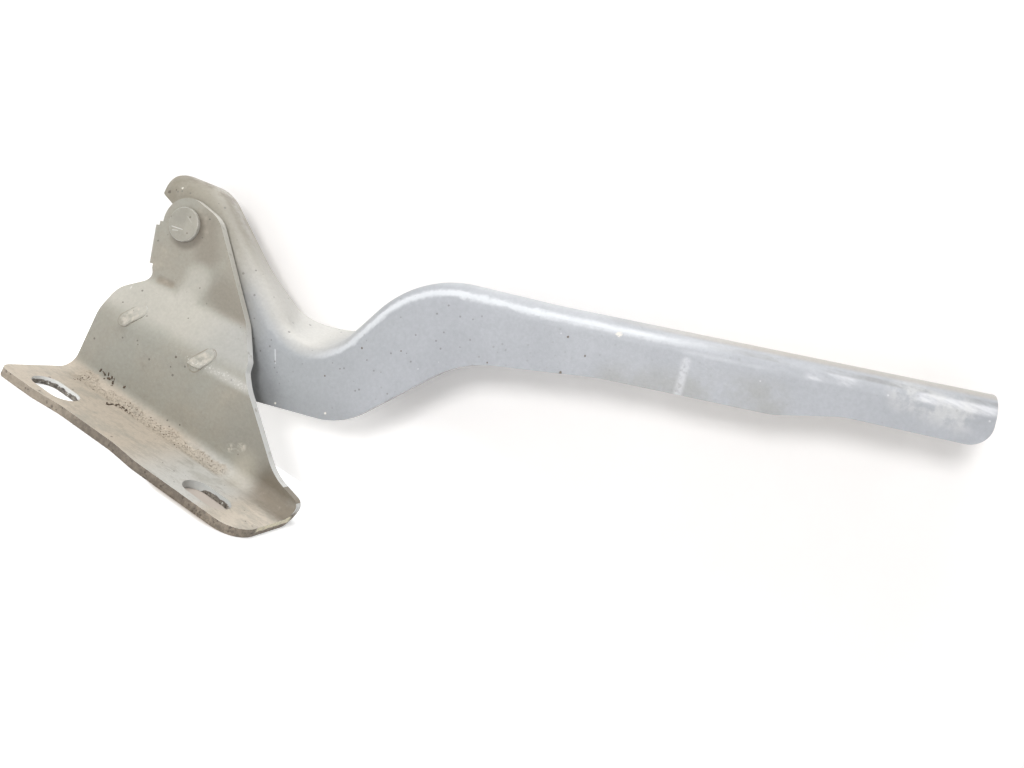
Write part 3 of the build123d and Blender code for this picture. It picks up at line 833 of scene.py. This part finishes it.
def crumb_soil(finish):
    """Dry leaf and soil, dark with paler lumps."""
    material, tree, place = start_material("crumb_soil")
    lumps = noise(tree, place, 900, 4, 0.7)
    base = mix(tree, ease(tree, lumps, 0.3, 0.7), finish.crumb, shade(finish.crumb, 2.8))
    return finish_material(material, base, 0.9, lumps, 0.3 * MM)


# The stage's materials


def seen_directly(tree):
    """1 for what the camera sees straight, in a gloss or through glass, and 0 for light."""
    path = add_node(tree, "ShaderNodeLightPath").outputs
    gloss = maths(tree, "MAXIMUM", path["Is Glossy Ray"], path["Is Transmission Ray"])
    return maths(tree, "MAXIMUM", path["Is Camera Ray"], gloss)


def glowing(tree, place, tint, glow, meeting, middle):
    """A matt shader that glows for the camera, more where floor and backdrop meet, and far off."""
    distant = ease(tree, away(tree, place, middle), FAR_STARTS, FAR_REACHED)
    more = scaled(tree, MORE_GLOW, maths(tree, "MAXIMUM", meeting, distant))
    level = both(tree, maths(tree, "ADD", glow, more), seen_directly(tree))
    matt = add_node(tree, "ShaderNodeBsdfDiffuse", {"Color": tint})
    lit = add_node(tree, "ShaderNodeEmission", {"Color": (*WHITE, 1), "Strength": level})
    return add_node(tree, "ShaderNodeAddShader", {0: matt.outputs[0], 1: lit.outputs[0]}).outputs[0]


def pale_floor(stage):
    """The floor, with a painted shadow under the front slot."""
    material, tree, place = start_material("pale_floor")
    _, y, _ = parts(tree)
    meeting = ease(tree, y, 25 * MM, 60 * MM)
    slot_shadow = near(tree, place, at(28, 0, 0), at(46, 0, 0), 9 * MM, 5 * MM)
    tint = mix(tree, slot_shadow, tuple(stage.ground), SLOT_SHADOW)
    glow = scaled(tree, stage.floor_glow, maths(tree, "SUBTRACT", 1.0, slot_shadow))
    ground = glowing(tree, place, tint, glow, meeting, Vector((0.1, 0, 0)))
    add_node(tree, "ShaderNodeOutputMaterial", {0: ground})
    return material


def pale_backdrop(stage):
    """The backdrop, which shows only its front, and only to the camera."""
    material, tree, place = start_material("pale_backdrop")
    # Its own Y is up, because it is a plane turned upright
    _, up, _ = parts(tree)
    meeting = ease(tree, maths(tree, "ADD", up, GROUND_SIZE / 2), 62 * MM, 8 * MM)
    middle = Vector((0.1, 0.1 - GROUND_SIZE / 2, 0))
    sheet = glowing(tree, place, (*stage.sheet, 1), stage.backdrop_glow, meeting, middle)
    side = add_node(tree, "ShaderNodeNewGeometry").outputs["Backfacing"]
    seen = add_node(tree, "ShaderNodeLightPath").outputs["Is Camera Ray"]
    shown = maths(tree, "MULTIPLY", seen, maths(tree, "SUBTRACT", 1.0, side))
    clear = add_node(tree, "ShaderNodeBsdfTransparent").outputs[0]
    sheet = add_node(tree, "ShaderNodeMixShader", {0: shown, 1: clear, 2: sheet}).outputs[0]
    add_node(tree, "ShaderNodeOutputMaterial", {0: sheet})
    return material


# Modelling helpers


def pick(*pieces):
    """Selects just these pieces in object mode, the first one active."""
    if bpy.context.object and bpy.context.object.mode != "OBJECT":
        bpy.ops.object.mode_set(mode="OBJECT")
    bpy.ops.object.select_all(action="DESELECT")
    for piece in pieces:
        piece.select_set(True)
    bpy.context.view_layer.objects.active = pieces[0]


def sheet_skin(node, name, edge_round, sharp):
    """A merged copy of a CAD node with its sharp edges rounded, to be shown in its place."""
    piece = bpy.data.objects.new(name, frame["nodes"][node].data.copy())
    bpy.context.scene.collection.objects.link(piece)
    piece.data.materials.clear()
    pick(piece)
    bpy.ops.object.mode_set(mode="EDIT")
    bpy.ops.mesh.select_mode(type="EDGE")
    bpy.ops.mesh.select_all(action="SELECT")
    bpy.ops.mesh.remove_doubles(threshold=MERGE_GAP)
    bpy.ops.mesh.customdata_custom_splitnormals_clear()
    bpy.ops.mesh.dissolve_limited(angle_limit=FLAT)
    bpy.ops.mesh.select_all(action="DESELECT")
    bpy.ops.mesh.edges_select_sharp(sharpness=sharp)
    bpy.ops.mesh.bevel(offset=edge_round, segments=2, profile=0.5, clamp_overlap=True)
    bpy.ops.object.mode_set(mode="OBJECT")
    bpy.ops.object.shade_smooth_by_angle(angle=SMOOTH)
    even = piece.modifiers.new("even_shading", "WEIGHTED_NORMAL")
    even.keep_sharp = True
    even.weight = 80
    bpy.ops.object.modifier_apply(modifier=even.name)
    return piece


def paint_faces(piece, index, wanted):
    """Gives a material slot to every face whose middle and normal are wanted."""
    for face in piece.data.polygons:
        if wanted(face.center, face.normal):
            face.material_index = index


def on_edge(middle, normal):
    """A face of the bracket's outline: round the base flange, up the plate, and round the neck."""
    flat_edge = middle.z < SHEET + TOUCH and abs(normal.z) < 0.3
    bent_edge = middle.z < 12 * MM and abs(normal.x) > 0.7
    outline = middle.z > 10 * MM and abs(normal.y) < 0.12 and abs(normal.z) < 0.97
    neck_top = middle.z > PIVOT.z and abs(normal.y) < 0.12
    return flat_edge or bent_edge or outline or neck_top


def in_slot(middle, normal):
    """A face of the wall of one of the two bolt slots."""
    along = abs(abs(middle.x) - SLOT_REACH) < SLOT_LENGTH / 2 + TOUCH
    return along and abs(middle.y) < SLOT_HALF_WIDTH + TOUCH and abs(normal.z) < 0.5


def on_rim(middle, normal):
    """A face of the rounded upper rim of the base flange, away from the slots."""
    at_top = 2.8 * MM < middle.z < SHEET + TOUCH
    return at_top and 0.2 < normal.z < 0.97 and abs(middle.y) > SLOT_HALF_WIDTH


# Operators, one for each piece or group of pieces, and one for the stage


class HINGE_OT_bracket(bpy.types.Operator):
    """Shows the bracket with rounded edges, primer, sheared edges and slot walls"""

    bl_idname = "hinge.bracket"
    bl_label = "Bracket"

    def execute(self, context):
        finish = context.scene.hinge_finish
        piece = sheet_skin("hinge_bracket", "bracket_sheet", finish.edge_round, SHEET_SHARP)
        for material in (bracket_primer(finish), sheared_steel(finish), slot_wall(), rim_with_highlights()):
            piece.data.materials.append(material)
        for index, wanted in enumerate((on_edge, in_slot, on_rim), 1):
            paint_faces(piece, index, wanted)
        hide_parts("hinge_bracket")
        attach(piece, "bracket_side")
        return {"FINISHED"}


class HINGE_OT_arm(bpy.types.Operator):
    """Shows the arm with rounded edges and its own primer"""

    bl_idname = "hinge.arm"
    bl_label = "Arm"

    def execute(self, context):
        finish = context.scene.hinge_finish
        piece = sheet_skin("hinge_arm", "arm_sheet", finish.edge_round, SHEET_SHARP)
        piece.data.materials.append(arm_primer(finish))
        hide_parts("hinge_arm")
        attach(piece, "arm_side")
        return {"FINISHED"}


class HINGE_OT_pivot(bpy.types.Operator):
    """Shows the rivet, its washer and the bush"""

    bl_idname = "hinge.pivot"
    bl_label = "Pivot"

    def execute(self, context):
        finish = context.scene.hinge_finish
        fine = finish.edge_round / 2
        washer = turned_metal("washer_metal", finish.steel, finish.grime_and_shade)
        bush = turned_metal("bush_metal", finish.bronze, finish.grime_and_shade)
        for node, name, body, slot_name, material in (
            ("pivot_rivet", "rivet", "bracket_side", "rivet_paint", rivet_steel(finish)),
            ("rivet_washer", "washer", "bracket_side", "washer_steel", washer),
            ("pivot_bush", "bush", "arm_side", "bush_bronze", bush),
        ):
            piece = sheet_skin(node, name, fine, TURNED_SHARP)
            piece.data.materials.append(material)
            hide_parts(node)
            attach(piece, body)
        return {"FINISHED"}


# Each heap: its middle, its spread, how many crumbs, their size, and how stringy they are
CRUMB_HEAPS = (
    (at(-38.5, 22.2, 8.0), (2.0 * MM, 0.5 * MM, 0.9 * MM), 13, 0.62 * MM, 2.1),
    (at(-25.0, 14.2, 3.3), (0.6 * MM, 1.2 * MM, 0.1 * MM), 8, 0.50 * MM, 2.4),
    (at(-22.5, 17.4, 3.6), (2.6 * MM, 0.5 * MM, 0.2 * MM), 12, 0.44 * MM, 2.6),
    (at(-15.5, 16.9, 3.5), (1.6 * MM, 0.5 * MM, 0.2 * MM), 4, 0.36 * MM, 1.6),
    (at(-29.3, 22.6, 8.6), (0.6 * MM, 0.3 * MM, 0.6 * MM), 2, 0.46 * MM, 1.1),
    (at(-45.5, 18.0, 3.6), (1.2 * MM, 2.2 * MM, 0.2 * MM), 12, 0.30 * MM, 1.8),
    (at(-8.0, 19.5, 4.4), (12.0 * MM, 1.6 * MM, 0.6 * MM), 34, 0.24 * MM, 1.3),
)


class HINGE_OT_crumbs(bpy.types.Operator):
    """Scatters the crumbs of soil and leaf that lie in the bend of the base"""

    bl_idname = "hinge.crumbs"
    bl_label = "Crumbs"

    def execute(self, context):
        finish = context.scene.hinge_finish
        draw = random.Random(5)
        bracket = bpy.data.objects["bracket_sheet"]
        made = []
        for middle, spread, count, size, stringy in CRUMB_HEAPS:
            for _ in range(count):
                aim = middle + Vector([draw.gauss(0, part) for part in spread])
                _found, seat, normal, _face = bracket.closest_point_on_mesh(aim)
                if normal.z < 0.05:
                    continue
                made.append(self.crumb(draw, seat, normal, size * draw.uniform(0.55, 1.2), stringy))
        pick(*made)
        bpy.ops.object.join()
        heap = bpy.context.object
        heap.name = "soil_crumbs"
        bpy.ops.object.shade_smooth_by_angle(angle=math.radians(50))
        heap.data.materials.clear()
        heap.data.materials.append(crumb_soil(finish))
        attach(heap, "bracket_side")
        return {"FINISHED"}

    def crumb(self, draw, seat, normal, radius, stringy):
        """One lump, stretched, turned and roughened, that leans as the surface does."""
        bpy.ops.mesh.primitive_ico_sphere_add(
            subdivisions=2, radius=radius, location=seat + normal * radius * 0.25
        )
        made = bpy.context.object
        reach = draw.uniform(0.7, stringy)
        wide = draw.uniform(0.5, 1.0) / math.sqrt(reach)
        tall = draw.uniform(0.4, 0.8) / math.sqrt(reach)
        made.scale = (reach, wide, tall)
        lean = normal.to_track_quat("Z", "Y").to_matrix().to_4x4()
        spin = Matrix.Rotation(draw.uniform(0, math.tau), 4, "Z")
        tip = Matrix.Rotation(draw.uniform(-0.25, 0.25), 4, "Y")
        made.rotation_euler = (lean @ (spin @ tip)).to_euler()
        bpy.ops.object.transform_apply()
        bpy.ops.object.mode_set(mode="EDIT")
        bpy.ops.transform.vertex_random(offset=radius * 0.25, seed=draw.randrange(1000))
        bpy.ops.object.mode_set(mode="OBJECT")
        return made


class HINGE_OT_stage(bpy.types.Operator):
    """Sets the pale floor and backdrop, the lamps and the camera"""

    bl_idname = "hinge.stage"
    bl_label = "Stage"

    def execute(self, context):
        stage = context.scene.hinge_stage
        self.ground("floor", pale_floor(stage), (0, 0, frame_low.z - FLOOR_GAP), 0)
        if stage.show_backdrop:
            behind = (0, frame_high.y + BACKDROP_GAP, GROUND_SIZE / 2)
            self.ground("backdrop", pale_backdrop(stage), behind, math.radians(90))
        self.world(context, stage)
        self.lamp("key_lamp", stage.key_power, 0.30, Vector((-0.06, -0.95, 0.32)))
        self.lamp("top_lamp", stage.top_power, 0.55, Vector((-0.30, -0.15, 0.94)))
        self.lamp("back_lamp", stage.back_power, 0.60, Vector((-0.45, 0.55, 0.70)))
        self.camera(context, stage)
        return {"FINISHED"}

    def ground(self, name, material, location, tilt):
        bpy.ops.mesh.primitive_plane_add(size=GROUND_SIZE, location=location, rotation=(tilt, 0, 0))
        sheet = bpy.context.object
        sheet.name = name
        sheet.data.materials.append(material)

    def world(self, context, stage):
        world = bpy.data.worlds.new("studio")
        context.scene.world = world
        world.use_nodes = True
        tree = world.node_tree
        tree.nodes.clear()
        level = add_node(
            tree, "ShaderNodeMapRange", {"Value": seen_directly(tree), "To Min": stage.sky, "To Max": 1.0}
        ).outputs[0]
        light = add_node(tree, "ShaderNodeBackground", {"Color": (*WHITE, 1), "Strength": level})
        add_node(tree, "ShaderNodeOutputWorld", {0: light.outputs[0]})

    def lamp(self, name, power, size, direction):
        data = bpy.data.lights.new(name, "AREA")
        data.shape = "DISK"
        data.size = size
        data.energy = power
        lamp = bpy.data.objects.new(name, data)
        bpy.context.scene.collection.objects.link(lamp)
        middle = (frame_low + frame_high) / 2
        lamp.location = middle + direction.normalized() * LAMP_DISTANCE
        lamp.rotation_euler = (middle - lamp.location).to_track_quat("-Z", "Y").to_euler()

    def camera(self, context, stage):
        data = bpy.data.cameras.new("camera")
        data.lens = stage.camera_lens
        data.sensor_width = 36.0
        data.clip_start = 0.01
        camera = bpy.data.objects.new("camera", data)
        context.scene.collection.objects.link(camera)
        turn = Matrix.Rotation(stage.camera_azimuth, 4, "Z")
        drop = Matrix.Rotation(math.radians(90) - stage.camera_drop, 4, "X")
        roll = Matrix.Rotation(stage.camera_roll, 4, "Z")
        camera.matrix_world = Matrix.Translation(stage.camera_place) @ turn @ drop @ roll
        context.scene.camera = camera
        context.scene.view_settings.view_transform = "Standard"


class HINGE_PT_panel(bpy.types.Panel):
    """Buttons and settings of the hinge"""

    bl_idname = "HINGE_PT_panel"
    bl_label = "Hood hinge"
    bl_space_type = "VIEW_3D"
    bl_region_type = "UI"
    bl_category = "Hinge"

    def draw(self, context):
        layout = self.layout
        for operator in OPERATORS:
            layout.operator(operator.bl_idname)
        for settings in (context.scene.hinge_finish, context.scene.hinge_stage):
            box = layout.box()
            for name in settings.bl_rna.properties.keys():
                if name not in ("rna_type", "name"):
                    box.prop(settings, name)


OPERATORS = (HINGE_OT_bracket, HINGE_OT_arm, HINGE_OT_pivot, HINGE_OT_crumbs, HINGE_OT_stage)
CLASSES = (HingeFinish, HingeStage, *OPERATORS, HINGE_PT_panel)


def register():
    for made in CLASSES:
        bpy.utils.register_class(made)
    bpy.types.Scene.hinge_finish = PointerProperty(type=HingeFinish)
    bpy.types.Scene.hinge_stage = PointerProperty(type=HingeStage)


def unregister():
    del bpy.types.Scene.hinge_stage
    del bpy.types.Scene.hinge_finish
    for made in reversed(CLASSES):
        bpy.utils.unregister_class(made)


def main():
    register()
    bpy.ops.hinge.bracket()
    bpy.ops.hinge.arm()
    bpy.ops.hinge.pivot()
    bpy.ops.hinge.crumbs()
    bpy.ops.hinge.stage()


if __name__ == "__main__":
    main()
